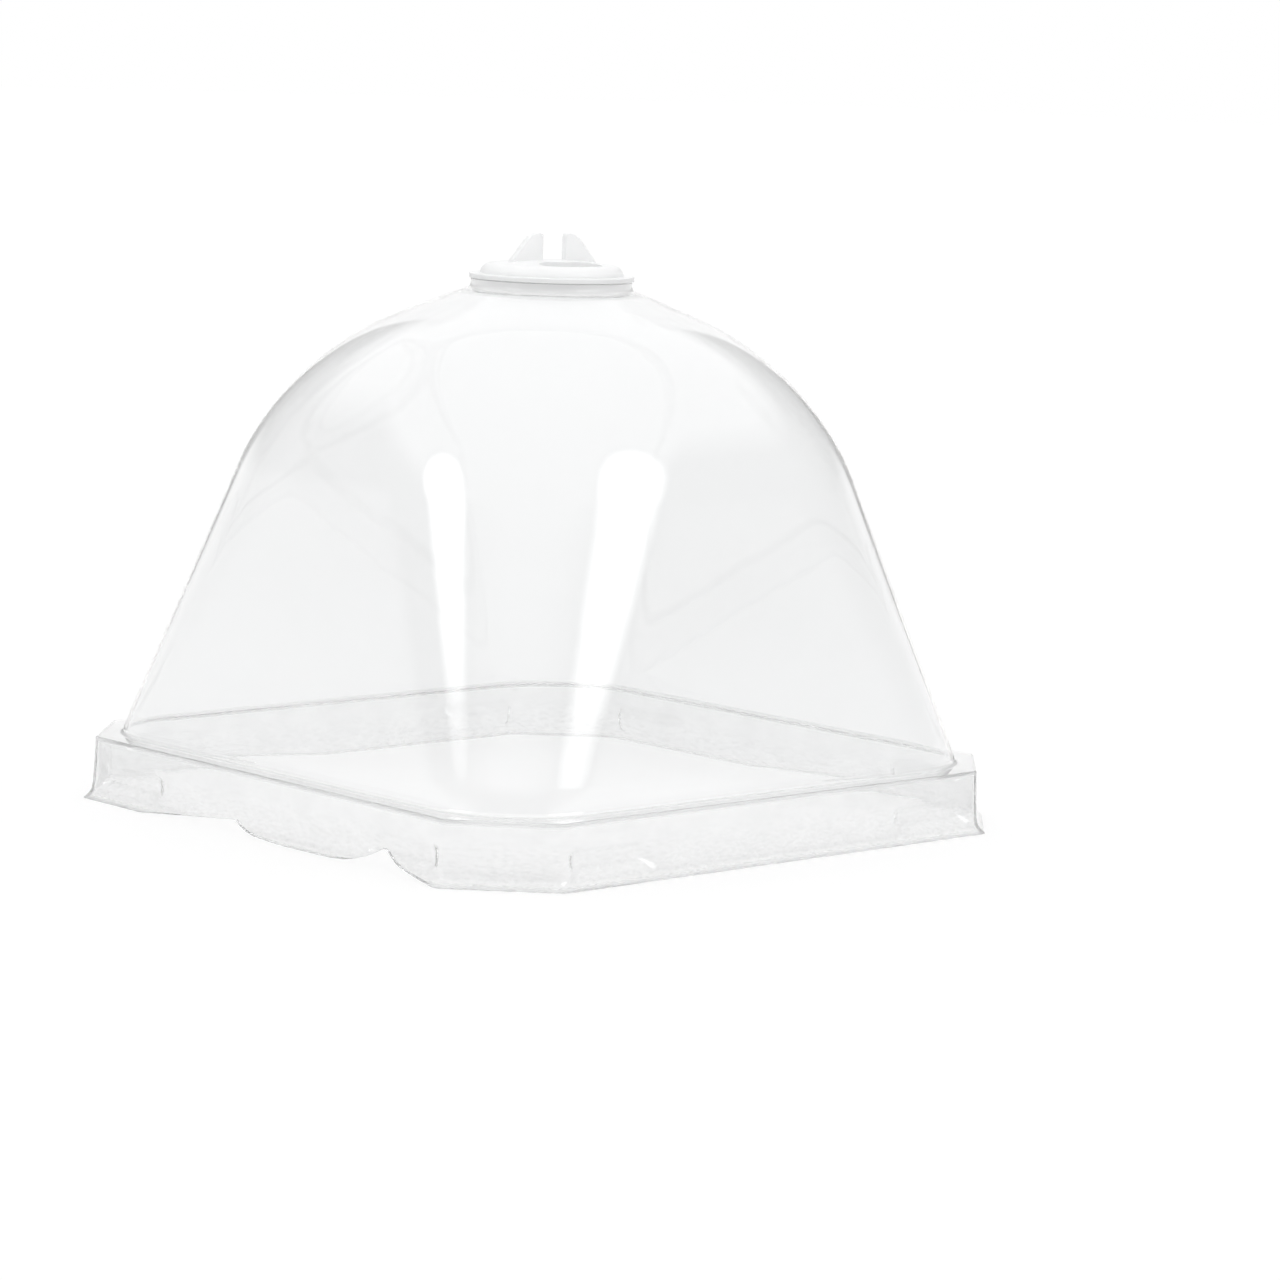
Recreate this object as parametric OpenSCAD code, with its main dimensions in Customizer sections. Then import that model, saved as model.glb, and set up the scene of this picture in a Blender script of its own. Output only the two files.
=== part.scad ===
// Clear square humidity dome with a rotary vent, for one nursery pot.
// Frame: the lip's bottom face lies on z = 0, the dome's axis is Z, the square's sides lie along X and Y.

/* [Overall size] */
// Width across the lip, side to side
lip_w = 100; // [90:0.5:110]
// Height from the lip's bottom face to the tips of the grip fins
total_h = 80; // [76:0.5:84]
// Thickness of the formed sheet
sheet_t = 0.5; // [0.4:0.05:0.8]

/* [Skirt and ledge] */
// How far the lip flares out beyond the skirt's top edge
lip_flare = 1.5; // [1.2:0.1:2.5]
// Height of the ledge that lies on the pot's rim
ledge_h = 8.6; // [8:0.1:10]
// Leg of the skirt's corner chamfer
chamfer = 10.6; // [9:0.1:12]
// Radius that softens the two edges of each chamfer
chamfer_r = 1.6; // [1:0.1:3]
// Width of the ledge between the skirt and the dome's foot
ledge_w = 3; // [2.5:0.1:4]

/* [Snap dents] */
// Depth of the inward dents that catch under the pot's rim
dent_depth = 0.9; // [0.6:0.1:1.5]
// Distance from the side's middle to a dent's inner end
dent_from = 21.4; // [15:0.2:26]
// Distance from the side's middle to a dent's outer end
dent_to = 37; // [32:0.2:37.4]
// Height of a dent's bottom
dent_low = 1.3; // [1.2:0.1:2]
// Height of a dent's top
dent_high = 5.7; // [5:0.1:6.5]

/* [Dome] */
// Corner radius at the dome's foot, as a share of the half width
foot_round = 0.32; // [0.25:0.01:0.5]
// How fast the corners round off towards the top
round_rate = 1.14; // [0.8:0.02:1.6]
// Draft of the side walls, from vertical
draft = 11; // [8:0.5:14]
// Slope of the crown, from horizontal
crown_slope = 23; // [20:0.5:26]
// Radius of the shoulder between wall and crown
shoulder_r = 30.5; // [20:0.5:34]

/* [Vent] */
// Radius of the vent dial
dial_r = 11.4; // [10.5:0.1:13]
// Thickness of the dial's rim
dial_rim_t = 0.7; // [0.6:0.1:1.2]
// Width of the flat brim round the dial's cap
dial_brim = 1.5; // [1:0.1:2]
// Rise of the cap's rounded edge above the brim
cap_step = 1.45; // [1:0.05:1.8]
// Rise of the cap's middle above the brim
cap_rise = 2.05; // [1.9:0.05:2.5]
// Height of the fin tips above the dial's rim
fin_rise = 5.7; // [4.5:0.05:7]
// Thickness of a grip fin
fin_t = 1.3; // [1:0.1:2]
// Gap between the two fins
fin_gap = 3.4; // [2.6:0.1:3.8]
// Distance from the axis to the foot of a fin
fin_reach = 6.9; // [6.7:0.1:8]
// Direction of the fins, from +X, with the vent closed
fin_turn = 76; // [0:1:180]
// Height of the raised seat's rim above the dome
seat_step = 1; // [0.8:0.1:1.4]
// Radius of the hub that the dial turns on
hub_r = 1.5; // [1.2:0.1:2]
// Radial clearance of the hub in its hole
hub_clear = 0.05; // [0.02:0.01:0.1]
// Middle radius of the curved vent slots
slot_mid_r = 6.2; // [5.8:0.1:6.8]
// Width of the vent slots
slot_w = 3.8; // [2:0.1:4]
// Half of the angle that a slot's middle line spans
slot_half = 26; // [10:1:30]

/* [Hidden] */
$fn = 96;
SQRT2 = sqrt(2);
ROUND = 2 - SQRT2;              // chamfer leg of a fully rounded corner, per unit of its radius

lip_hw = lip_w / 2;
skirt_hw = lip_hw - lip_flare;
foot_hw = skirt_hw - ledge_w;
lip_h = 1.2;                    // height of the flared lip
lip_face = 0.5;                 // width of the face that the lip stands on
edge_r = 0.5;                   // rounding of the skirt's top edge
foot_r = 1;                     // fillet at the dome's foot

// The vent's levels, from the tips of the fins down
dial_top = total_h - fin_rise;
dial_z = dial_top - dial_rim_t;
dial_lift = 0.05;               // axial play between the dial and its seat
seat_z = dial_z - dial_lift;
seat_r = dial_r - 0.2;
crown_z = seat_z - seat_step;   // where the dome's crown meets the seat's riser
snap_r = hub_r + 0.4;           // the snap head under the seat
snap_top = seat_z - sheet_t - dial_lift;
snap_bottom = snap_top - 1.1;
slot_cut = 0.7;                 // split between the two snap prongs
cap_round = 1.6;                // run of the cap's rounded edge
cap_edge = dial_r - dial_brim - cap_round;

// The fins' outline
tip_r = 0.5;                    // rounding of the inner top corner
back_r = 2.6;                   // radius of the back edge below the tip
back_slope = 52;                // slope of the straight part of the back edge

// The dome's half width against height: a drafted wall, a shoulder arc and a straight crown
crown_run = 1 / tan(crown_slope);
wall_tan = tan(draft);
meet_hw = (foot_hw - (crown_z + seat_r / crown_run - ledge_h) * wall_tan) / (1 - wall_tan / crown_run);
meet_z = crown_z - (meet_hw - seat_r) / crown_run;
shoulder_turn = 90 - draft - crown_slope;
shoulder_leg = shoulder_r * tan(shoulder_turn / 2);
arc_hw = meet_hw + shoulder_leg * sin(draft) - shoulder_r * cos(draft);
arc_z = meet_z - shoulder_leg * cos(draft) - shoulder_r * sin(draft);
wall_top_z = meet_z - shoulder_leg * cos(draft);
function wall_hw(z) = foot_hw - (z - ledge_h) * wall_tan;
function arc_point(a) = [arc_hw + shoulder_r * cos(a), arc_z + shoulder_r * sin(a)];

// The outer surface from lip to crown, as [half width, height]
skirt_rings = [
    [lip_hw, 0], [skirt_hw + 0.45, lip_h], [skirt_hw + 0.25, dent_low + 0.7],
    [skirt_hw + 0.2, (dent_low + dent_high) / 2], [skirt_hw + 0.12, dent_high - 0.8],
    [skirt_hw + 0.1, dent_high], [skirt_hw, ledge_h - edge_r],
    [skirt_hw - edge_r * (1 - cos(45)), ledge_h - edge_r * (1 - sin(45))], [skirt_hw - edge_r, ledge_h]
];
foot_rings = [
    [foot_hw + foot_r, ledge_h], [foot_hw + foot_r * 0.3, ledge_h + foot_r * 0.3],
    [wall_hw(ledge_h + foot_r), ledge_h + foot_r]
];
wall_rings = [for (s = [1 : 2]) let (z = ledge_h + foot_r + (wall_top_z - ledge_h - foot_r) * s / 3)
    [wall_hw(z), z]];
shoulder_steps = 6;
shoulder_rings = [for (s = [0 : shoulder_steps]) arc_point(draft + shoulder_turn * s / shoulder_steps)];
tuck = sheet_t / 2;             // the crown ends inside the riser of the vent seat
crown_rings = [[seat_r - tuck, crown_z + tuck / crown_run]];
profile = concat(skirt_rings, foot_rings, wall_rings, shoulder_rings, crown_rings);
ring_count = len(profile);
dome_first = len(skirt_rings);

// Unit normal of the profile at a ring, pointing out of the dome
function along(i) = profile[min(i + 1, ring_count - 1)] - profile[max(i - 1, 0)];
function outward(i) = [along(i)[1], -along(i)[0]] / norm(along(i));
inner_profile = [for (i = [0 : ring_count - 1])
    i == 0 ? [lip_hw - lip_face, 0] : profile[i] - sheet_t * outward(i)];

// Corner of the section: a chamfer on the skirt, a round that grows into a full circle up the dome
function round_share(z) = foot_round + (1 - foot_round) *
    pow(max(0, min(1, (z - ledge_h) / (crown_z - ledge_h))), round_rate);
function corner_r(i, hw) = i < dome_first ? chamfer_r : round_share(profile[i][1]) * hw;
function corner_leg(i, hw) = i < dome_first ? chamfer + (hw - skirt_hw) * ROUND : ROUND * corner_r(i, hw);

// Distance from the axis to the section's edge in direction a, folded into the first 45 degrees
function reach(a, hw, leg, r) =
    let (y1 = hw - leg - r * (SQRT2 - 1), a1 = atan2(y1, hw),
         a2 = atan2(y1 + r / SQRT2, hw - r + r / SQRT2),
         off = (hw - r) * sin(a) - y1 * cos(a))
    a <= a1 ? hw / cos(a)
    : a >= a2 ? (2 * hw - leg) / (cos(a) + sin(a))
    : (hw - r) * cos(a) + y1 * sin(a) + sqrt(max(0, r * r - off * off));

// The directions in which every ring has a point: closer together at a dent's ends and at the chamfer
octant = [0, 8, 15, 20.5, 23.6, 25.4, 27.4, 31.5, 35.2, 36.9, 38.3, 41.5];
directions = [for (side = [0 : 3]) each concat(
    [for (a = octant) 90 * side + a], [45 + 90 * side],
    [for (k = [len(octant) - 1 : -1 : 1]) 90 * side + 90 - octant[k]])];
points_round = len(directions);
function folded(a) = let (b = a % 90) b > 45 ? 90 - b : b;

// The lip is trimmed unevenly on the -Y side: how high its edge is there, against x
trim_edge = [
    [-25, 0], [-14, 1], [-5, 2], [-4, 1.2], [0, 0.5], [16, 0.3], [22, 1.1], [25.8, 3], [29, 1.5], [37, 0]
];
trim_top = 6;                   // the trimmed edge no longer shifts the rings above this height
function trim_rise(a, hw) = a > 225 && a < 315 ? lookup(hw * tan(a - 270), trim_edge) : 0;
function trimmed(z, rise) = z >= trim_top ? z : z + rise * (1 - z / trim_top);

// How deep the snap dents are at a distance s along the side and a height z
function ramp(t) = let (c = max(0, min(1, t))) c * c * (3 - 2 * c);
function dent(s, z) = dent_depth * ramp((s - dent_from) / 1.6) * ramp((dent_to - s) / 1.4)
    * ramp((z - dent_low) / 0.7) * ramp((dent_high - z) / 0.8);

function half_width_at(z, table) = lookup(z, [for (i = [0 : dome_first - 3]) [table[i][1], table[i][0]]]);
function ring_point(a, i, table) =
    let (z0 = table[i][1],
         rise = z0 < trim_top ? trim_rise(a, table[i][0]) : 0,
         z = trimmed(z0, rise),
         hw = rise > 0 ? half_width_at(z, table) : table[i][0],
         f = folded(a),
         shift = profile[i][0] - table[i][0],
         r = max(0.6, corner_r(i, profile[i][0]) - shift),
         leg = corner_leg(i, profile[i][0]) - ROUND * shift,
         d = reach(f, hw, leg, r),
         s = d * sin(f),
         in = i < dome_first && f < 45 ? dent(s, z) : 0,
         side = 90 * round(a / 90))
    [d * cos(a) - in * cos(side), d * sin(a) - in * sin(side), z];

// A closed band: the outer rings going up, then the inner rings coming down
module band(outer, inner) {
    loops = concat([for (i = [0 : ring_count - 1]) [for (a = directions) ring_point(a, i, outer)]],
                   [for (i = [ring_count - 1 : -1 : 0]) [for (a = directions) ring_point(a, i, inner)]]);
    n = points_round;
    m = len(loops);
    faces = [for (i = [0 : m - 1], k = [0 : n - 1])
        let (next = (k + 1) % n, row = i * n, above = ((i + 1) % m) * n)
        each [[row + k, above + k, above + next], [row + k, above + next, row + next]]];
    polyhedron(points = [for (loop = loops) each loop], faces = faces, convexity = 8);
}

// Points along an arc about centre c, from angle a0 to a1 in n steps
function arc(c, r, a0, a1, n) = [for (s = [0 : n])
    let (a = a0 + (a1 - a0) * s / n) c + r * [cos(a), sin(a)]];

// A curved slot with round ends, centred on +X
module kidney() {
    end_r = slot_w / 2;
    end_at = slot_mid_r * [cos(slot_half), sin(slot_half)];
    end_back = [end_at[0], -end_at[1]];
    polygon(concat(
        arc([0, 0], slot_mid_r + end_r, -slot_half, slot_half, 10),
        arc(end_at, end_r, slot_half + 30, slot_half + 150, 4),
        arc([0, 0], slot_mid_r - end_r, slot_half, -slot_half, 6),
        arc(end_back, end_r, 210 - slot_half, 330 - slot_half, 4)));
}

// Two opposite slots, cut right through from height z upwards
module vent_slots(turn, z, h) {
    for (half = [0, 180]) rotate(turn + half) translate([0, 0, z]) linear_extrude(h) kidney();
}

// The raised round seat that the dial lies on, with its riser down to the crown
module vent_seat() {
    rotate_extrude() polygon([
        [hub_r + hub_clear, seat_z - sheet_t], [hub_r + hub_clear, seat_z], [seat_r, seat_z],
        [seat_r, crown_z - sheet_t], [seat_r - sheet_t, crown_z - sheet_t],
        [seat_r - sheet_t, seat_z - sheet_t]
    ]);
}

module dome_shell() {
    color([0.93, 0.95, 0.96, 0.4]) {
        difference() {
            vent_seat();
            vent_slots(fin_turn, seat_z - 2 * sheet_t, 3 * sheet_t);
        }
        band(profile, inner_profile);
    }
}

// One grip fin in the x-z plane: upright inner edge, round tip, swept back edge
module fin() {
    tip_x = fin_gap / 2 + tip_r;
    base_z = dial_z + dial_rim_t / 2;
    back_start = [tip_x + back_r * sin(back_slope), total_h - back_r * (1 - cos(back_slope))];
    back_end_z = back_start[1] - (fin_reach - back_start[0]) * tan(back_slope);
    outline = concat(
        [[fin_gap / 2, base_z]],
        arc([tip_x, total_h - tip_r], tip_r, 180, 90, 6),
        arc([tip_x, total_h - back_r], back_r, 82, 90 - back_slope, 5),
        [[fin_reach, back_end_z], [fin_reach, base_z]]);
    rotate([90, 0, 0]) translate([0, 0, -fin_t / 2]) linear_extrude(fin_t) polygon(outline);
}

// Turned body of the dial: flat underside, thin brim, low cap, hub and snap head
module dial_body() {
    round_edge = [for (a = [0 : 15 : 90]) [cap_edge + cap_round * cos(a), dial_top + cap_step * sin(a)]];
    cap_top = [for (share = [0.75, 0.5, 0.25, 0])
        [cap_edge * share, dial_top + cap_step + (cap_rise - cap_step) * (1 - share * share)]];
    rotate_extrude() polygon(concat(
        [[0, snap_bottom], [hub_r - 0.2, snap_bottom], [snap_r, snap_top - 0.35], [snap_r, snap_top],
         [hub_r, snap_top], [hub_r, dial_z], [dial_r, dial_z], [dial_r, dial_top]],
        round_edge, cap_top));
}

module vent_dial() {
    color([0.88, 0.91, 0.93, 0.75]) difference() {
        union() {
            dial_body();
            for (half = [0, 180]) rotate(fin_turn + half) fin();
        }
        vent_slots(fin_turn + 90, dial_z - 1, dial_rim_t + cap_rise + 2);
        rotate(fin_turn) translate([-dial_r / 2, -slot_cut / 2, snap_bottom - 1])
            cube([dial_r, slot_cut, snap_top - snap_bottom + 1 + sheet_t / 2]);
    }
}

dome_shell();
vent_dial();
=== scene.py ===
import math

import bmesh
import bpy
import numpy as np
from mathutils import Matrix, Vector, noise


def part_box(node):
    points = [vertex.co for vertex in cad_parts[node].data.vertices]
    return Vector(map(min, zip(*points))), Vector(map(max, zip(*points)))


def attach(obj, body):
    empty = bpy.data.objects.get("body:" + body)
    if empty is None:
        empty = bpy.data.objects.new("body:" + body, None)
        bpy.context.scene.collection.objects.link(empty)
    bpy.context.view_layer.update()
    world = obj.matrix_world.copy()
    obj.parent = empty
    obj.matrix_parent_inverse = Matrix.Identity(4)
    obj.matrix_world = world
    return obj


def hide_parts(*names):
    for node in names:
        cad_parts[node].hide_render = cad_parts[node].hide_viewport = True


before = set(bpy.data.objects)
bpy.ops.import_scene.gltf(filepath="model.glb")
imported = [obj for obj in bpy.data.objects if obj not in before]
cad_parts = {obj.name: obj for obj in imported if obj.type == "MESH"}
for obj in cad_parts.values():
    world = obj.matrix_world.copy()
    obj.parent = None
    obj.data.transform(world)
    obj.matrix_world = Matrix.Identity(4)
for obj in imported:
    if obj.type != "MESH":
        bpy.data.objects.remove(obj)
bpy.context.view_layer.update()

MM = 0.001

# ---- sizes, as in the CAD model ----
SHELL_LOW, SHELL_HIGH = (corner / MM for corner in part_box("dome_shell"))
DIAL_LOW, DIAL_HIGH = (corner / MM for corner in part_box("vent_dial"))
LIP_HW = (SHELL_HIGH.x - SHELL_LOW.x) / 2
TOTAL_H = DIAL_HIGH.z
SHEET_T = 0.5
SKIRT_HW = LIP_HW - 1.5
LEDGE_H = 8.6
LEDGE_W = 3.0
FOOT_HW = SKIRT_HW - LEDGE_W
CHAMFER, CHAMFER_R = 10.6, 1.6
DRAFT, CROWN_SLOPE = math.radians(11), math.radians(23)
SHOULDER_R = 30.5
FOOT_ROUND, ROUND_RATE = 0.32, 1.14
SEAT_Z = SHELL_HIGH.z
SEAT_STEP = 1.0
CROWN_Z = SEAT_Z - SEAT_STEP
DIAL_R = (DIAL_HIGH.x - DIAL_LOW.x) / 2
SEAT_R = DIAL_R - 0.2
DIAL_Z = SEAT_Z + 0.05
RIM_T = 0.7
CROWN_RISE = 2.05
BRIM, CAP_STEP, CAP_ROUND = 1.5, 1.45, 1.6
HUB_R, HUB_CLEAR = 1.5, 0.05
SNAP_OUT, SNAP_CLEAR, SNAP_H, SPLIT_W = 0.4, 0.05, 1.1, 0.7
FIN_TURN = math.radians(76)
FIN_T, FIN_GAP, FIN_REACH = 1.3, 3.4, 6.9
TIP_R, BACK_R, BACK_SLOPE = 0.5, 2.6, 52
FIN_EDGE = 0.22
SLOT_MID_R, SLOT_W, SLOT_HALF = 6.2, 3.8, math.radians(26)
DENT_DEPTH, DENT_FROM, DENT_TO, DENT_LOW, DENT_HIGH = 0.9, 21.4, 37.0, 1.0, 6.0
# Leg of the 45 degree cut that just touches a round corner of radius 1
ROUND = 2 - math.sqrt(2)
# Points round the skirt's upper edge
EDGE_POINTS = 8


# ---- helpers ----
def to_object(name, vertices, faces):
    """A mesh object from points in millimetres."""
    mesh = bpy.data.meshes.new(name)
    mesh.from_pydata([tuple(v * MM for v in p) for p in vertices], [], faces)
    mesh.validate()
    obj = bpy.data.objects.new(name, mesh)
    bpy.context.scene.collection.objects.link(obj)
    return obj


def apply_modifiers(obj):
    """Bakes the modifier stack into the mesh."""
    graph = bpy.context.evaluated_depsgraph_get()
    mesh = bpy.data.meshes.new_from_object(obj.evaluated_get(graph), depsgraph=graph)
    obj.modifiers.clear()
    obj.data = mesh


def combine(obj, other, operation):
    """Boolean of obj with other, which is used up."""
    step = obj.modifiers.new("combine", "BOOLEAN")
    step.operation, step.object, step.solver = operation, other, "EXACT"
    apply_modifiers(obj)
    bpy.data.objects.remove(other)


def smooth_shading(obj, sharp_angle):
    """Smooth shading, apart from edges that bend by more than sharp_angle degrees."""
    obj.data.shade_smooth()
    obj.data.set_sharp_from_angle(angle=math.radians(sharp_angle))


def arc(centre, radius, start, end, steps):
    """Points along an arc in the plane, angles in degrees."""
    angles = np.radians(np.linspace(start, end, steps + 1))
    return [(centre[0] + radius * math.cos(a), centre[1] + radius * math.sin(a)) for a in angles]


def line(start, end, steps):
    """Points from start up to, but without, end."""
    return [tuple(np.array(start) + (np.array(end) - np.array(start)) * s / steps) for s in range(steps)]


def smoothstep(t):
    """0 up to t = 0 and 1 from t = 1, smooth in between."""
    t = np.clip(t, 0, 1)
    return t * t * (3 - 2 * t)


def catmull(points, steps):
    """A smooth curve through points, with so many steps between neighbours."""
    pts = np.array([points[0], *points, points[-1]], float)
    t = np.linspace(0, 1, steps, endpoint=False)[:, None]
    out = []
    for a, b, c, d in zip(pts, pts[1:], pts[2:], pts[3:]):
        square, cube = 2 * a - 5 * b + 4 * c - d, 3 * b - a - 3 * c + d
        out.append(0.5 * (2 * b + (c - a) * t + square * t**2 + cube * t**3))
    return [tuple(p) for p in np.concatenate(out)]


# ---- dome shell ----
def dome_profile():
    """The outer and the inner surface as (half width, height) from the lip to the hub hole."""
    # The flared lip and the skirt up to its round upper edge
    edge_r, foot_r = 0.3, 0.7
    skirt = catmull([(LIP_HW, 0), (SKIRT_HW + 0.62, 0.95), (SKIRT_HW + 0.32, 2.0), (SKIRT_HW + 0.2, 3.6),
                     (SKIRT_HW + 0.1, 5.6), (SKIRT_HW, LEDGE_H - edge_r)], 6)
    edge = arc((SKIRT_HW - edge_r, LEDGE_H - edge_r), edge_r, 0, 90, EDGE_POINTS - 1)

    # Drafted wall, shoulder arc and straight crown
    wall_tan, crown_run = math.tan(DRAFT), 1 / math.tan(CROWN_SLOPE)
    meet_w = (FOOT_HW - (CROWN_Z + SEAT_R / crown_run - LEDGE_H) * wall_tan) / (1 - wall_tan / crown_run)
    meet_z = CROWN_Z - (meet_w - SEAT_R) / crown_run
    turn = math.pi / 2 - DRAFT - CROWN_SLOPE
    leg = SHOULDER_R * math.tan(turn / 2)
    centre = (meet_w + leg * math.sin(DRAFT) - SHOULDER_R * math.cos(DRAFT),
              meet_z - leg * math.cos(DRAFT) - SHOULDER_R * math.sin(DRAFT))
    shoulder = arc(centre, SHOULDER_R, math.degrees(DRAFT), 90 - math.degrees(CROWN_SLOPE), 24)

    # The fillet at the foot touches the ledge and the drafted wall
    foot_z = LEDGE_H + foot_r
    foot_w = FOOT_HW - (foot_z - LEDGE_H) * wall_tan + foot_r / math.cos(DRAFT)
    foot = arc((foot_w, foot_z), foot_r, 270, 180 - math.degrees(DRAFT), 8)
    wall = line(foot[-1], shoulder[0], 13)[1:]

    # The riser of the vent seat, with a small fillet below and a round edge above
    low_r, top_r = 0.7, 0.12
    crown_end = (SEAT_R + low_r, CROWN_Z - low_r / crown_run)
    crown = line(shoulder[-1], crown_end, 6)[1:]
    riser = arc((SEAT_R + low_r, crown_end[1] + low_r), low_r, 270, 180, 5)
    rim = arc((SEAT_R - top_r, SEAT_Z - top_r), top_r, 0, 90, 6)
    seat = line(rim[-1], (HUB_R + HUB_CLEAR, SEAT_Z), 6)[1:] + [(HUB_R + HUB_CLEAR, SEAT_Z)]

    outer = np.array(skirt + edge + foot + wall + shoulder + crown + riser + rim + seat)
    on_skirt = len(skirt) + len(edge)
    along = np.gradient(outer, axis=0)
    along /= np.linalg.norm(along, axis=1)[:, None]
    inner = outer - SHEET_T * np.stack([along[:, 1], -along[:, 0]], 1)

    # Inside an edge that is rounder than the sheet is thick, the corner stays tight
    tight = 0.05
    for first, corner, steps in ((len(skirt), (SKIRT_HW, LEDGE_H), len(edge) - 1),
                                 (len(outer) - len(seat) - len(rim), (SEAT_R, SEAT_Z), len(rim) - 1)):
        centre = (corner[0] - SHEET_T - tight, corner[1] - SHEET_T - tight)
        inner[first:first + steps + 1] = arc(centre, tight, 0, 90, steps)
    inner[0] = (LIP_HW - 0.25, 0)
    inner[-1] = (outer[-1][0], SEAT_Z - SHEET_T)
    inner[:, 1] = np.maximum(inner[:, 1], 0)
    return outer, inner, on_skirt


def directions():
    """Angles round the axis, closer together at the dents' ends and the chamfer's edges."""
    octant = np.concatenate([np.arange(0, 22.5, 1.5), np.arange(22.5, 26, 0.4), np.arange(26.1, 35, 0.9),
                             np.arange(35, 39.6, 0.26), np.linspace(39.9, 45, 6)[:-1]])
    half = np.concatenate([octant, [45], (90 - octant[1:])[::-1]])
    return np.radians(np.concatenate([half + 90 * side for side in range(4)]))


def reach(a, hw, leg, r):
    """Distance from the axis to the edge of a square with cut and rounded corners, in directions a."""
    folded = np.abs((a + math.pi / 4) % (math.pi / 2) - math.pi / 4)
    y1 = hw - leg - r * (math.sqrt(2) - 1)
    a1 = math.atan2(y1, hw)
    a2 = math.atan2(y1 + r / math.sqrt(2), hw - r + r / math.sqrt(2))
    off = (hw - r) * np.sin(folded) - y1 * np.cos(folded)
    bend = (hw - r) * np.cos(folded) + y1 * np.sin(folded) + np.sqrt(np.maximum(r * r - off * off, 0))
    flat = hw / np.cos(folded)
    cut = (2 * hw - leg) / (np.cos(folded) + np.sin(folded))
    return np.where(folded <= a1, flat, np.where(folded >= a2, cut, bend)), folded


def dent(s, z):
    """Depth of the snap dents at a distance s from a side's middle and a height z: a soft pillow."""
    ends = smoothstep((s - DENT_FROM) / 2.6) * smoothstep((DENT_TO - s) / 2.0)
    return DENT_DEPTH * ends * smoothstep((z - DENT_LOW) / 1.9) * smoothstep((DENT_HIGH - z) / 2.2)


# The lip is trimmed unevenly on the -Y side: x and the height of its edge there
TRIM_X = [-25, -20.5, -14, -5.2, -4.2, -2.6, 0, 6, 16, 20, 23, 24.7, 25.8, 27, 29, 31, 34, 37.4]
TRIM_Z = [0, 0.45, 1.05, 1.95, 1.35, 0.85, 0.5, 0.3, 0.35, 0.6, 1.45, 2.3, 3.0, 2.4, 1.6, 1.05, 0.5, 0]
TRIM_TOP = 6.0


def wobble(x, y, z, scale, seed):
    """Smooth noise between about -1 and 1 at every point."""
    shift = Vector((seed * 17.3, seed * 5.1, seed * 9.7))
    return np.array([noise.noise(Vector((i, j, k)) / scale + shift) for i, j, k in zip(x, y, z)])


def shell_ring(a, outer, point, skirt, table):
    """The points of one ring of the shell in directions a.

    outer is the ring's (half width, height) on the outer surface and point the same on the ring's own
    surface. table gives the half width of that surface by height below the skirt's upper edge."""
    hw, z0 = point
    z = np.full(len(a), z0)
    width = np.full(len(a), hw)
    if skirt and z0 < TRIM_TOP:
        front = np.cos(a + math.pi / 2) > math.cos(math.pi / 4)
        rise = np.where(front, np.interp(hw * np.tan(a + math.pi / 2), TRIM_X, TRIM_Z, 0, 0), 0)
        z = z0 + rise * (1 - z0 / TRIM_TOP)
        width = np.where(rise > 0, np.interp(z, table[:, 1], table[:, 0]), hw)
    shift = outer[0] - hw
    if skirt:
        r, leg = CHAMFER_R, CHAMFER + (outer[0] - SKIRT_HW) * ROUND
    else:
        grown = np.clip((outer[1] - LEDGE_H) / (CROWN_Z - LEDGE_H), 0, 1) ** ROUND_RATE
        r = (FOOT_ROUND + (1 - FOOT_ROUND) * grown) * outer[0]
        leg = ROUND * r
    out = np.empty((len(a), 3))
    for w in np.unique(width):
        same = width == w
        d, folded = reach(a[same], w, leg - ROUND * shift, max(0.5, r - shift))
        side = np.round(a[same] / (math.pi / 2)) * (math.pi / 2)
        press = dent(d * np.sin(folded), z[same]) if skirt else np.zeros(same.sum())
        out[same, 0] = d * np.cos(a[same]) - press * np.cos(side)
        out[same, 1] = d * np.sin(a[same]) - press * np.sin(side)
    out[:, 2] = z
    return out


# Depth and sizes of the dome's slow waves from forming and of the creases low on the skirt
WAVE_DEPTH, WAVE_SIZE, SMALL_WAVE_SIZE = 0.05, 22, 9
CREASE_DEPTH, CREASE_SIZE, WIDE_CREASE_SIZE = 0.1, 2.2, 6
SKIRT_INSET = 0.03


def waviness(points, outer, on_skirt):
    """How far a ring's points are pushed towards the axis by waves and creases."""
    x, y, z = points.T
    if on_skirt:
        low = 1 - np.clip(outer[1] / LEDGE_H, 0, 1)
        crease = wobble(x, y, z * 1.5, CREASE_SIZE, 3) * 0.5 + wobble(x, y, z, WIDE_CREASE_SIZE, 4) * 0.5
        return SKIRT_INSET + CREASE_DEPTH * low * (crease + 1) / 2
    # The waves fade out towards the vent seat
    below_seat = np.clip((SEAT_Z - 3 - outer[1]) / 10, 0, 1)
    waves = wobble(x, y, z, WAVE_SIZE, 1) + 0.5 * wobble(x, y, z, SMALL_WAVE_SIZE, 2)
    return WAVE_DEPTH * below_seat * waves


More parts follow.
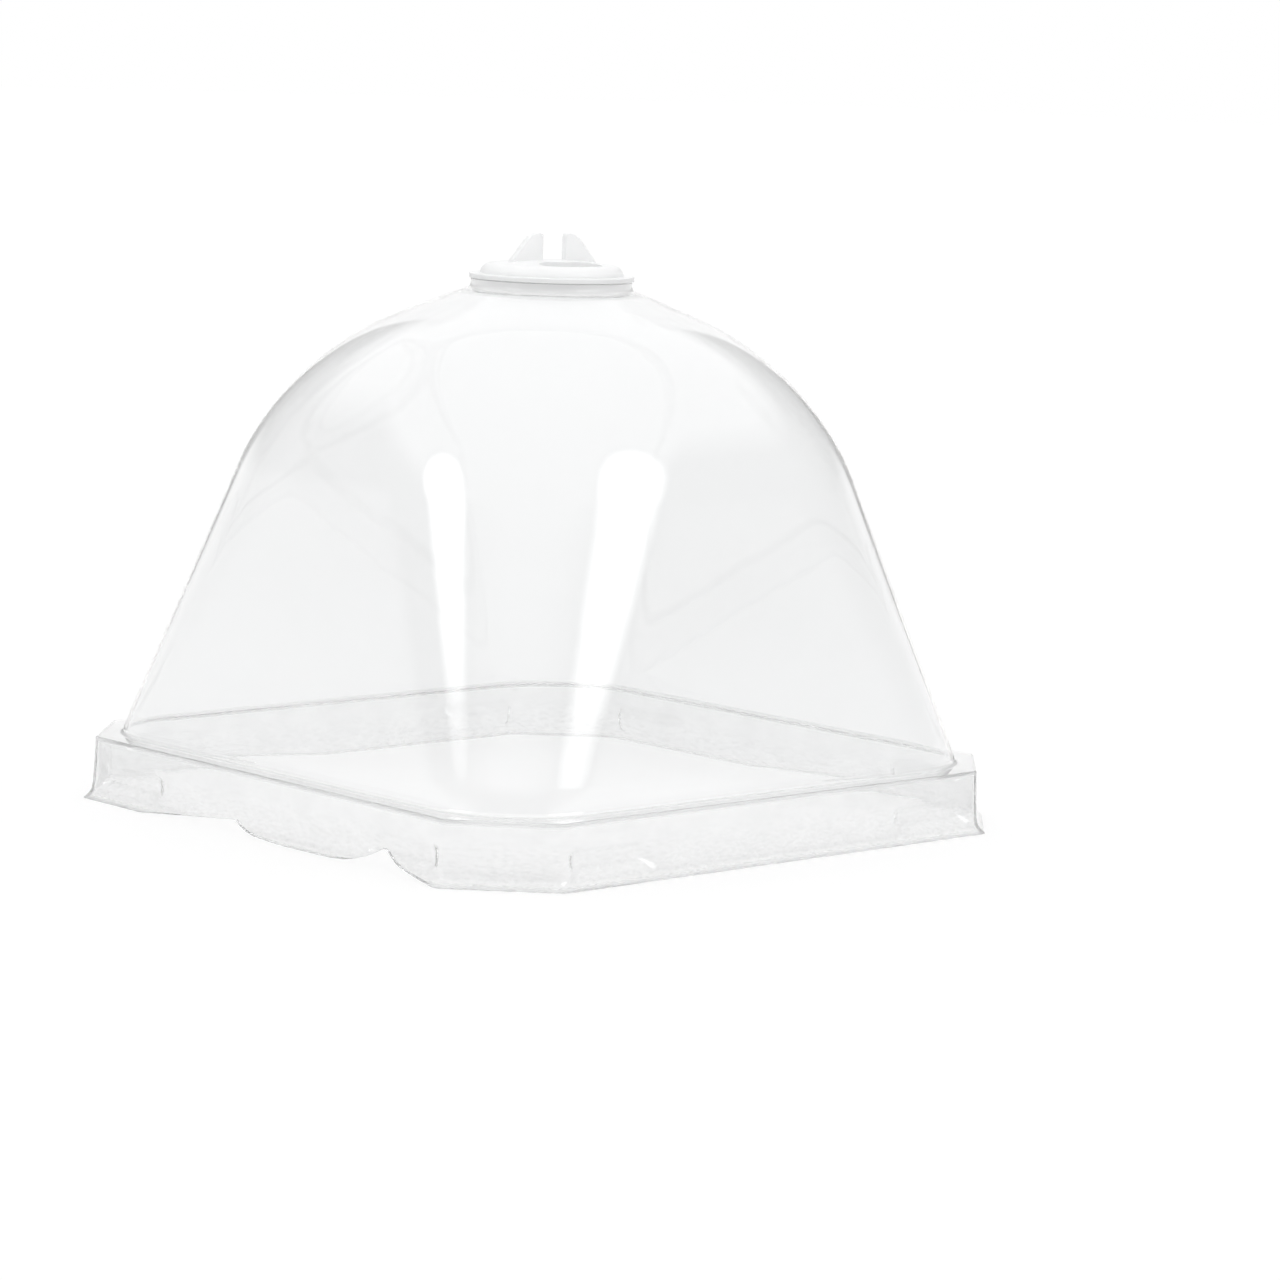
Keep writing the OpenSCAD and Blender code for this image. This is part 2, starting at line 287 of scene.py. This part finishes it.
def dome_shell():
    """The shell as one closed sheet: rings up the outer surface and back down the inner one."""
    profile, inner, on_skirt = dome_profile()
    a = directions()
    below_edge = on_skirt - EDGE_POINTS - 1
    tables = [np.array(sorted((z, w) for w, z in t[:below_edge]))[:, ::-1] for t in (profile, inner)]
    rings = []
    for surface, table, order in ((profile, tables[0], range(len(profile))),
                                  (inner, tables[1], range(len(profile) - 1, -1, -1))):
        for i in order:
            ring = shell_ring(a, profile[i], surface[i], i < on_skirt, table)
            push = waviness(ring, profile[i], i < on_skirt)
            radial = np.hypot(ring[:, 0], ring[:, 1])
            ring[:, :2] *= (1 - push / radial)[:, None]
            rings.append(ring)
    n, m = len(a), len(rings)
    vertices = np.concatenate(rings)
    faces = [(i * n + k, i * n + (k + 1) % n, (i + 1) % m * n + (k + 1) % n, (i + 1) % m * n + k)
             for i in range(m) for k in range(n)]
    shell = to_object("dome_sheet", vertices, faces)
    for half in (0, math.pi):
        combine(shell, kidney_cutter(FIN_TURN + half, SEAT_Z - 2, SEAT_Z + 2), "DIFFERENCE")
    smooth_shading(shell, 38)
    return shell


# ---- vent slots ----
def kidney_cutter(turn, low, high):
    """A prism of a curved slot with round ends, centred in direction turn."""
    end_r, half = SLOT_W / 2, math.degrees(SLOT_HALF)
    tip = (SLOT_MID_R * math.cos(SLOT_HALF), SLOT_MID_R * math.sin(SLOT_HALF))
    outline = (arc((0, 0), SLOT_MID_R + end_r, -half, half, 24) + arc(tip, end_r, half, half + 180, 16)[1:-1]
               + arc((0, 0), SLOT_MID_R - end_r, half, -half, 16)
               + arc((tip[0], -tip[1]), end_r, 180 - half, 360 - half, 16)[1:-1])
    return prism("slot_cutter", outline, low, high, Matrix.Rotation(turn, 3, "Z"))


def prism(name, outline, low, high, turn):
    """An outline in the XY plane drawn from height low to high, then turned."""
    n = len(outline)
    points = [turn @ Vector((x, y, z)) for z in (low, high) for x, y in outline]
    faces = [tuple(range(n - 1, -1, -1)), tuple(range(n, 2 * n))]
    faces += [(k, (k + 1) % n, n + (k + 1) % n, n + k) for k in range(n)]
    return to_object(name, points, faces)


# ---- vent dial ----
def lathe(name, outline, segments):
    """A closed outline of (radius, height) turned about Z."""
    n = len(outline)
    points = [(r * math.cos(t), r * math.sin(t), z)
              for t in np.linspace(0, 2 * math.pi, segments, endpoint=False) for r, z in outline]
    steps = [(i * n, (i + 1) % segments * n) for i in range(segments)]
    faces = [(here + k, after + k, after + (k + 1) % n, here + (k + 1) % n)
             for here, after in steps for k in range(n)]
    obj = to_object(name, points, faces)
    mesh = bmesh.new()
    mesh.from_mesh(obj.data)
    bmesh.ops.remove_doubles(mesh, verts=mesh.verts, dist=1e-7)
    bmesh.ops.recalc_face_normals(mesh, faces=mesh.faces)
    mesh.to_mesh(obj.data)
    mesh.free()
    return obj


def fin_outline():
    """One grip fin seen from its side: upright inner edge, round tip, swept back edge."""
    slope = math.radians(BACK_SLOPE)
    tip_x = FIN_GAP / 2 + TIP_R
    back_x = tip_x + BACK_R * math.sin(slope)
    back_z = TOTAL_H - BACK_R * (1 - math.cos(slope))
    end_z = back_z - (FIN_REACH - back_x) * math.tan(slope)
    base_z = DIAL_Z + RIM_T / 2
    return ([(FIN_GAP / 2, base_z), (FIN_GAP / 2, base_z + 2)]
            + arc((tip_x, TOTAL_H - TIP_R), TIP_R, 180, 90, 8)
            + arc((tip_x, TOTAL_H - BACK_R), BACK_R, 90, 90 - BACK_SLOPE, 14)[1:]
            + [(FIN_REACH, end_z), (FIN_REACH, base_z)])


def inset(outline, distance):
    """A clockwise outline moved inwards."""
    pts = np.array(outline)
    ahead, behind = np.roll(pts, -1, 0) - pts, pts - np.roll(pts, 1, 0)
    ahead /= np.linalg.norm(ahead, axis=1)[:, None]
    behind /= np.linalg.norm(behind, axis=1)[:, None]
    normal = np.stack([(ahead + behind)[:, 1], -(ahead + behind)[:, 0]], 1)
    share = (normal ** 2).sum(1)[:, None] / 2
    return pts + distance * normal / share


def rounded_slab(name, outline, half, edge, stand, steps=4):
    """An outline with thickness 2 * half and rounded edges, turned by stand."""
    levels = [(edge * (1 - math.sin(a)), -half + edge * (1 - math.cos(a)))
              for a in np.linspace(0, math.pi / 2, steps + 1)]
    levels += [(gap, -z) for gap, z in reversed(levels)]
    n, m = len(outline), len(levels)
    points = [stand @ Vector((x, y, z)) for gap, z in levels for x, y in inset(outline, gap)]
    faces = [(i * n + k, i * n + (k + 1) % n, (i + 1) * n + (k + 1) % n, (i + 1) * n + k)
             for i in range(m - 1) for k in range(n)]
    faces += [tuple(range(n - 1, -1, -1)), tuple(range((m - 1) * n, m * n))]
    obj = to_object(name, points, faces)
    mesh = bmesh.new()
    mesh.from_mesh(obj.data)
    bmesh.ops.recalc_face_normals(mesh, faces=mesh.faces)
    mesh.to_mesh(obj.data)
    mesh.free()
    return obj


def vent_dial():
    """The dial: a turned body with a snap hub, two fins joined on, two slots and the hub's split cut out."""
    rim_top = DIAL_Z + RIM_T
    snap_r, snap_top = HUB_R + SNAP_OUT, SEAT_Z - SHEET_T - SNAP_CLEAR
    edge, cap_r = 0.12, DIAL_R - BRIM
    cap_edge = cap_r - CAP_ROUND
    cap = [(cap_edge + CAP_ROUND * math.cos(a), rim_top + CAP_STEP * math.sin(a))
           for a in np.linspace(0, math.pi / 2, 13)]
    crown = [(r, rim_top + CAP_STEP + (CROWN_RISE - CAP_STEP) * (1 - (r / cap_edge) ** 2))
             for r in np.linspace(cap_edge, 0, 17)[1:]]
    body = lathe("vent_dial_moulding", (
        [(0, snap_top - SNAP_H), (HUB_R - 0.2, snap_top - SNAP_H)]
        + arc((snap_r - 0.15, snap_top - 0.4), 0.15, -50, 0, 3) + [(snap_r, snap_top), (HUB_R, snap_top)]
        + [(HUB_R, DIAL_Z)] + arc((DIAL_R - edge, DIAL_Z + edge), edge, 270, 360, 5)
        + arc((DIAL_R - edge, rim_top - edge), edge, 0, 90, 5) + cap + crown), 240)
    outline = fin_outline()
    for half in (0, math.pi):
        # The outline's plane stands up along the fin's direction
        stand = Matrix.Rotation(FIN_TURN + half, 3, "Z") @ Matrix.Rotation(math.pi / 2, 3, "X")
        combine(body, rounded_slab("fin", outline, FIN_T / 2, FIN_EDGE, stand), "UNION")
        slot = kidney_cutter(FIN_TURN + math.pi / 2 + half, DIAL_Z - 1, rim_top + CROWN_RISE + 1)
        combine(body, slot, "DIFFERENCE")
    far, half_w = 2 * snap_r, SPLIT_W / 2
    split = [(-far, -half_w), (far, -half_w), (far, half_w), (-far, half_w)]
    turn = Matrix.Rotation(FIN_TURN, 3, "Z")
    combine(body, prism("split", split, snap_top - 2, snap_top + 0.25, turn), "DIFFERENCE")
    smooth_shading(body, 34)
    return body


# ---- materials ----
def new_material(name):
    """A new material, its node tree and its shader."""
    material = bpy.data.materials.new(name)
    material.use_nodes = True
    tree = material.node_tree
    return material, tree, tree.nodes["Principled BSDF"]


def add(tree, kind, settings=None, **inputs):
    """A node with its properties and input values set."""
    node = tree.nodes.new(kind)
    for key, value in (settings or {}).items():
        setattr(node, key, value)
    for key, value in inputs.items():
        node.inputs[key.replace("_", " ")].default_value = value
    return node


def object_noise(tree, scale, detail):
    """Noise in the object's own frame, scale cells to the metre."""
    place = add(tree, "ShaderNodeTexCoord")
    node = add(tree, "ShaderNodeTexNoise", Scale=scale, Detail=detail, Roughness=0.5)
    tree.links.new(place.outputs["Object"], node.inputs["Vector"])
    return node.outputs["Fac"]


def remap(tree, value, low, high, to_low, to_high):
    """value taken from the range low to high into the range to_low to to_high, and kept inside it."""
    node = add(tree, "ShaderNodeMapRange", {"clamp": True},
               From_Min=low, From_Max=high, To_Min=to_low, To_Max=to_high)
    tree.links.new(value, node.inputs["Value"])
    return node.outputs["Result"]


def mix_values(tree, operation, first, second):
    """Math node between an output and another output or a number."""
    node = add(tree, "ShaderNodeMath", {"operation": operation})
    for socket, value in zip(node.inputs, (first, second)):
        if isinstance(value, (int, float)):
            socket.default_value = value
        else:
            tree.links.new(value, socket)
    return node.outputs[0]


def stretched_noise(tree, stretch, scale, detail, roughness=0.5):
    """Noise in the object's own frame, squeezed along its axes by stretch."""
    place = add(tree, "ShaderNodeTexCoord")
    scaling = add(tree, "ShaderNodeMapping", Scale=stretch)
    node = add(tree, "ShaderNodeTexNoise", Scale=scale, Detail=detail, Roughness=roughness)
    tree.links.new(place.outputs["Object"], scaling.inputs["Vector"])
    tree.links.new(scaling.outputs["Vector"], node.inputs["Vector"])
    return node.outputs["Fac"]


def colour_ramp(tree, factor, stops):
    """A colour that follows factor through stops of (position, colour)."""
    ramp = add(tree, "ShaderNodeValToRGB")
    elements = ramp.color_ramp.elements
    while len(elements) < len(stops):
        elements.new(0.5)
    for element, (position, colour) in zip(elements, stops):
        element.position = position
        element.color = (*colour, 1)
    tree.links.new(factor, ramp.inputs["Fac"])
    return ramp.outputs["Color"]


def between_heights(tree, start, end, at_start, at_end):
    """A number that goes from at_start to at_end between two heights in millimetres."""
    place = add(tree, "ShaderNodeTexCoord")
    split = add(tree, "ShaderNodeSeparateXYZ")
    tree.links.new(place.outputs["Object"], split.inputs["Vector"])
    return remap(tree, split.outputs["Z"], start * MM, end * MM, at_start, at_end)


# Height and tint of the sheet: darker at the skirt, partly as thick, dull sheet and partly as painted shade
# of the shaded table under the dome; lighter towards the crown, where the sheet is drawn thinner
SHEET_TINT_AND_SHADE = [(0, 0.916), (LEDGE_H - 0.6, 0.916), (LEDGE_H + 0.6, 0.948), (30, 0.948),
              (50, 0.962), (65, 0.975)]
# A thin sheet hardly bends light, so most of its gloss comes from the shader's coat
SHEET_IOR, GLOSS_IOR, GLOSS_ROUGHNESS = 1.18, 1.5, 0.05
SHEET_ABSORPTION, ABSORBED_TINT = 6, (0.5, 0.52, 0.53, 1)
# How milky the sheet is, from 0 to 1: all over, in clouds on the skirt, and in flecks low on it
HAZE_LOW, HAZE_HIGH, CLOUDS, FLECKS = 0.01, 0.022, 0.05, 0.1
# Forming whitens it where it bends sharply: at the lip, the skirt's upper edge and the vent seat
WHITE_LIP, WHITE_EDGE, WHITE_SEAT = 0.3, 0.4, 0.9


def clear_sheet():
    """Thermoformed clear plastic: glossy, faintly hazy and slowly waved, and crinkled low on the skirt."""
    material, tree, shader = new_material("clear_sheet")
    # Base colour by height; the darker band on the skirt is partly painted shade of the table under the dome
    tint_and_shade_stops = [(z / TOTAL_H, (value - 0.002, value + 0.001, value + 0.002)) for z, value in SHEET_TINT_AND_SHADE]
    tint_and_shade = colour_ramp(tree, between_heights(tree, 0, TOTAL_H, 0, 1), tint_and_shade_stops)
    tree.links.new(tint_and_shade, shader.inputs["Base Color"])
    shader.inputs["IOR"].default_value = SHEET_IOR
    shader.inputs["Coat Weight"].default_value = 1
    shader.inputs["Coat IOR"].default_value = GLOSS_IOR
    shader.inputs["Coat Roughness"].default_value = GLOSS_ROUGHNESS

    skirt = between_heights(tree, LEDGE_H - 0.1, LEDGE_H - 1.1, 0, 1)
    low = between_heights(tree, 6.5, 2, 0, 1)
    fine = stretched_noise(tree, (1, 1, 2.6), 900, 3, 0.6)
    broad = stretched_noise(tree, (1, 1, 1.6), 170, 3)
    veil = remap(tree, object_noise(tree, 45, 4), 0.3, 0.7, HAZE_LOW, HAZE_HIGH)
    edge = mix_values(tree, "MULTIPLY", between_heights(tree, LEDGE_H - 0.8, LEDGE_H - 0.4, 0, WHITE_EDGE),
                      between_heights(tree, LEDGE_H - 0.1, LEDGE_H - 0.02, 1, 0))
    for part in (mix_values(tree, "MULTIPLY", skirt, remap(tree, broad, 0.35, 0.7, 0, CLOUDS)),
                 mix_values(tree, "MULTIPLY", low, remap(tree, fine, 0.45, 0.7, 0, FLECKS)),
                 between_heights(tree, 0.2, 0.6, WHITE_LIP, 0),
                 edge,
                 between_heights(tree, CROWN_Z - 0.7, CROWN_Z - 0.3, 0, WHITE_SEAT)):
        veil = mix_values(tree, "ADD", veil, part)
    tree.links.new(mix_values(tree, "SUBTRACT", 1.0, veil), shader.inputs["Transmission Weight"])

    rough = mix_values(tree, "ADD", remap(tree, object_noise(tree, 60, 4), 0.45, 0.75, 0.0, 0.05),
                       mix_values(tree, "MULTIPLY", skirt, 0.08))
    tree.links.new(rough, shader.inputs["Roughness"])

    waves = add(tree, "ShaderNodeBump", Strength=0.05, Distance=0.0004)
    tree.links.new(object_noise(tree, 90, 2), waves.inputs["Height"])
    crinkle = add(tree, "ShaderNodeBump", Strength=0.35, Distance=0.0002)
    depth = mix_values(tree, "ADD", mix_values(tree, "MULTIPLY", low, 0.8), 0.05)
    folds = mix_values(tree, "MULTIPLY", depth, mix_values(tree, "MULTIPLY", skirt, fine))
    tree.links.new(folds, crinkle.inputs["Height"])
    tree.links.new(waves.outputs["Normal"], crinkle.inputs["Normal"])
    for socket in ("Normal", "Coat Normal"):
        tree.links.new(crinkle.outputs["Normal"], shader.inputs[socket])
    body = add(tree, "ShaderNodeVolumeAbsorption", Color=ABSORBED_TINT, Density=SHEET_ABSORPTION)
    tree.links.new(body.outputs["Volume"], tree.nodes["Material Output"].inputs["Volume"])
    return material


# The dial's plastic; it stays rough enough to scatter light everywhere, so that its surface looks even
MOULDING_DARK, MOULDING_PALE = (0.957, 0.960, 0.962), (0.987, 0.990, 0.991)
MOULDING_IOR, MOULDING_CLEARNESS, MOULDING_ROUGHNESS = 1.25, 0.2, (0.28, 0.48)


def milky_moulding():
    """Translucent injection moulding: milky, satin, with faint flow clouds."""
    material, tree, shader = new_material("milky_moulding")
    clouds = colour_ramp(tree, object_noise(tree, 350, 3), [(0, MOULDING_DARK), (1, MOULDING_PALE)])
    tree.links.new(clouds, shader.inputs["Base Color"])
    shader.inputs["Transmission Weight"].default_value = MOULDING_CLEARNESS
    shader.inputs["IOR"].default_value = MOULDING_IOR
    rough = remap(tree, object_noise(tree, 500, 2), 0, 1, *MOULDING_ROUGHNESS)
    tree.links.new(rough, shader.inputs["Roughness"])
    bump = add(tree, "ShaderNodeBump", Strength=0.03, Distance=0.0001)
    tree.links.new(object_noise(tree, 600, 2), bump.inputs["Height"])
    tree.links.new(bump.outputs["Normal"], shader.inputs["Normal"])
    return material


# ---- studio ----
VIEW_AZIMUTH, VIEW_ELEVATION = 48.76, 6.76
VIEW_TARGET = Vector((0, 0, 0.035))
VIEW_DISTANCE, VIEW_LENS, SENSOR = 0.5986, 121.1, 36
VIEW_PAN, VIEW_TILT, VIEW_ROLL = 1.317, -1.058, 1.721

# Softboxes that draw the two streaks on the front corner. Azimuth from the camera, elevation, half width
# and half height in degrees, then how far the box moves sideways per degree above its middle line, and
# how far that line drops per degree of azimuth
SOFTBOXES = {"softbox_left": (-60.0, 36.0, 13.8, 14.8, -0.45, -0.355),
             "softbox_right": (57.5, 34.6, 22.5, 19.2, 0.2, 0.42)}
SOFTBOX_FAR, SOFTBOX_GLOW, SOFTBOX_RIM, SOFTBOX_FOOT = 0.9, 3, 0.35, 2 / 3

# The fill light on the dial: width in metres, power in watts, elevation in degrees
FILL_SIZE, FILL_POWER, FILL_ELEVATION = 0.8, 2, 50

# The floor, in metres, lies a hair below the lip
FLOOR_HALF, FLOOR_DROP, FLOOR_GREY, FLOOR_GLOW = 6.0, 0.00005, 0.2, 0.822

# The room by the sine of the elevation: white up to the horizon, a grey band of wall, a bright ceiling
ROOM = [(-1.0, 1.0), (0.10, 1.0), (0.20, 0.55), (0.44, 0.55), (0.60, 1.15), (1.0, 1.15)]
# Sideways from straight behind the object: the white backdrop, then a dim gap beside it
BACKDROP_EDGE, GAP_EDGE, EDGE_BLUR = 0.23, 0.43, 0.05
# The gap's light, and the sine of the elevation where the gap ends
GAP_LIGHT, GAP_TOP = 0.55, 0.37
# The room behind the camera is dim too
FRONT_LIGHT, FRONT_EDGE, FRONT_BLUR = 0.35, 0.45, 0.3

# Light crosses many walls of clear sheet on its way
CLEAR_BOUNCES, DIFFUSE_BOUNCES = 48, 12


def sky(azimuth, elevation):
    """Unit vector from the object to a place in the studio. Azimuth 0 is the -Y side, 90 the +X side."""
    a, e = math.radians(azimuth), math.radians(elevation)
    return Vector((math.sin(a) * math.cos(e), -math.cos(a) * math.cos(e), math.sin(e)))


def make_camera():
    """The camera at the photo's viewing angle."""
    camera = bpy.data.objects.new("camera", bpy.data.cameras.new("camera"))
    bpy.context.scene.collection.objects.link(camera)
    camera.data.sensor_width, camera.data.lens = SENSOR, VIEW_LENS
    camera.data.clip_start, camera.data.clip_end = 0.01, 50
    back = sky(VIEW_AZIMUTH, VIEW_ELEVATION)
    camera.location = VIEW_TARGET + back * VIEW_DISTANCE
    aim = (-back).to_track_quat("-Z", "Y").to_matrix()
    pan = Matrix.Rotation(math.radians(-VIEW_PAN), 3, "Y")
    tilt = Matrix.Rotation(math.radians(VIEW_TILT), 3, "X")
    roll = Matrix.Rotation(math.radians(VIEW_ROLL), 3, "Z")
    camera.rotation_mode = "QUATERNION"
    camera.rotation_quaternion = (aim @ pan @ tilt @ roll).to_quaternion()
    bpy.context.scene.camera = camera


def softbox(name, azimuth, elevation, half_width, half_height, lean, tip):
    """One of SOFTBOXES, bright over its face and fading out towards its rim."""
    around, shares = 64, np.linspace(1, 0, 9)
    points, brightness = [], []
    for share in shares:
        for t in np.linspace(0, 2 * math.pi, around, endpoint=False):
            # The lower half is squarer than an ellipse
            power = SOFTBOX_FOOT if t > math.pi else 1
            side, up = (math.copysign(abs(v) ** power, v) for v in (math.cos(t), math.sin(t)))
            up *= share * half_height
            across = share * half_width * side + lean * up
            place = sky(VIEW_AZIMUTH + azimuth + across, elevation + up - tip * across)
            points.append(place * SOFTBOX_FAR / MM)
            brightness.append(float(smoothstep((1 - share) / SOFTBOX_RIM)))
    faces = [(i * around + k, i * around + (k + 1) % around,
              (i + 1) * around + (k + 1) % around, (i + 1) * around + k)
             for i in range(len(shares) - 1) for k in range(around)]
    box = to_object(name, points, faces)
    box.data.attributes.new("glow", "FLOAT", "POINT").data.foreach_set("value", brightness)
    box.visible_camera = box.visible_diffuse = box.visible_shadow = False
    material, tree, shader = new_material(name)
    shader.inputs["Base Color"].default_value = (0.8, 0.8, 0.8, 1)
    shader.inputs["Emission Color"].default_value = (1, 1, 1, 1)
    level = add(tree, "ShaderNodeAttribute", {"attribute_name": "glow"})
    glow = mix_values(tree, "MULTIPLY", level.outputs["Fac"], SOFTBOX_GLOW)
    tree.links.new(glow, shader.inputs["Emission Strength"])
    box.data.materials.append(material)


def make_floor():
    """A white table, lit evenly from within, so that it has the same tone as the backdrop."""
    reach_mm = FLOOR_HALF / MM
    corners = [(-reach_mm, -reach_mm, 0), (reach_mm, -reach_mm, 0), (reach_mm, reach_mm, 0),
               (-reach_mm, reach_mm, 0)]
    floor = to_object("floor", corners, [(0, 1, 2, 3)])
    floor.location.z = -FLOOR_DROP
    material, tree, shader = new_material("pale_floor")
    shader.inputs["Base Color"].default_value = (FLOOR_GREY, FLOOR_GREY, FLOOR_GREY, 1)
    shader.inputs["Specular IOR Level"].default_value = 0
    shader.inputs["Roughness"].default_value = 1
    shader.inputs["Emission Color"].default_value = (1, 1, 1, 1)
    shader.inputs["Emission Strength"].default_value = FLOOR_GLOW
    floor.data.materials.append(material)


def along(tree, place, direction):
    """How far a world direction points along another one."""
    node = add(tree, "ShaderNodeVectorMath", {"operation": "DOT_PRODUCT"})
    tree.links.new(place.outputs["Generated"], node.inputs[0])
    node.inputs[1].default_value = direction
    return node.outputs["Value"]


def blend_values(tree, factor, first, second):
    """first where factor is 0, the number second where it is 1."""
    rest = mix_values(tree, "MULTIPLY", first, mix_values(tree, "SUBTRACT", 1.0, factor))
    return mix_values(tree, "ADD", rest, mix_values(tree, "MULTIPLY", factor, second))


def make_world():
    """The room's light by direction. It doesn't depend on where the camera stands."""
    world = bpy.data.worlds.new("studio")
    bpy.context.scene.world = world
    world.use_nodes = True
    tree = world.node_tree
    background = tree.nodes["Background"]
    place = add(tree, "ShaderNodeTexCoord")
    split = add(tree, "ShaderNodeSeparateXYZ")
    tree.links.new(place.outputs["Generated"], split.inputs["Vector"])
    # A ramp's colours end at 1, so they are shares of the brightest light
    brightest = max(value for sine, value in ROOM)
    stops = [((sine + 1) / 2, [value / brightest] * 3) for sine, value in ROOM]
    shares = colour_ramp(tree, remap(tree, split.outputs["Z"], -1, 1, 0, 1), stops)
    room = mix_values(tree, "MULTIPLY", shares, brightest)
    # Behind the object stands a white backdrop, and beside that the room is dim
    behind = along(tree, place, sky(VIEW_AZIMUTH + 180, 0))
    aside = mix_values(tree, "ABSOLUTE", along(tree, place, sky(VIEW_AZIMUTH + 90, 0)), 0)
    rear = mix_values(tree, "GREATER_THAN", behind, 0)
    below = remap(tree, split.outputs["Z"], GAP_TOP, GAP_TOP + EDGE_BLUR, 1, 0)
    in_gap = remap(tree, aside, GAP_EDGE, GAP_EDGE + EDGE_BLUR, 1, 0)
    gap = mix_values(tree, "MULTIPLY", mix_values(tree, "MULTIPLY", rear, below), in_gap)
    in_strip = remap(tree, aside, BACKDROP_EDGE, BACKDROP_EDGE + EDGE_BLUR, 1, 0)
    backdrop = mix_values(tree, "MULTIPLY", rear, in_strip)
    lit = mix_values(tree, "MAXIMUM", blend_values(tree, gap, room, GAP_LIGHT), backdrop)
    in_front = mix_values(tree, "SUBTRACT", 1.0, rear)
    near_axis = remap(tree, aside, FRONT_EDGE, FRONT_EDGE + FRONT_BLUR, 1, 0)
    front = mix_values(tree, "MULTIPLY", in_front, mix_values(tree, "MULTIPLY", below, near_axis))
    lit = blend_values(tree, front, lit, FRONT_LIGHT)

    # Seen directly, it is white all round
    path = add(tree, "ShaderNodeLightPath")
    seen = mix_values(tree, "MAXIMUM", lit, path.outputs["Is Camera Ray"])
    tree.links.new(seen, background.inputs["Strength"])
    background.inputs["Color"].default_value = (1, 1, 1, 1)


def make_fill(receiver):
    """A soft fill light that falls on one piece only, so that it is as pale as its surroundings."""
    light = bpy.data.lights.new("fill", "AREA")
    light.shape, light.size, light.energy = "DISK", FILL_SIZE, FILL_POWER
    lamp = bpy.data.objects.new("fill", light)
    bpy.context.scene.collection.objects.link(lamp)
    lamp.location = sky(VIEW_AZIMUTH, FILL_ELEVATION)
    lamp.rotation_mode = "QUATERNION"
    lamp.rotation_quaternion = (-lamp.location).to_track_quat("-Z", "Y")
    lamp.visible_glossy = lamp.visible_transmission = False
    lit = bpy.data.collections.new("lit_by_fill")
    lit.objects.link(receiver)
    lamp.light_linking.receiver_collection = lit


def make_studio(dial):
    """The room, the floor, the lights and the camera."""
    make_world()
    make_floor()
    for name, shape in SOFTBOXES.items():
        softbox(name, *shape)
    make_fill(dial)
    make_camera()
    bpy.context.scene.view_settings.view_transform = "Standard"
    cycles = bpy.context.scene.cycles
    cycles.max_bounces = cycles.glossy_bounces = cycles.transmission_bounces = CLEAR_BOUNCES
    cycles.diffuse_bounces = DIFFUSE_BOUNCES


# ---- build ----
shell = dome_shell()
shell.data.materials.clear()
shell.data.materials.append(clear_sheet())
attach(shell, "dome")
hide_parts("dome_shell")

dial = vent_dial()
dial.data.materials.clear()
dial.data.materials.append(milky_moulding())
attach(dial, "dial")
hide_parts("vent_dial")

make_studio(dial)
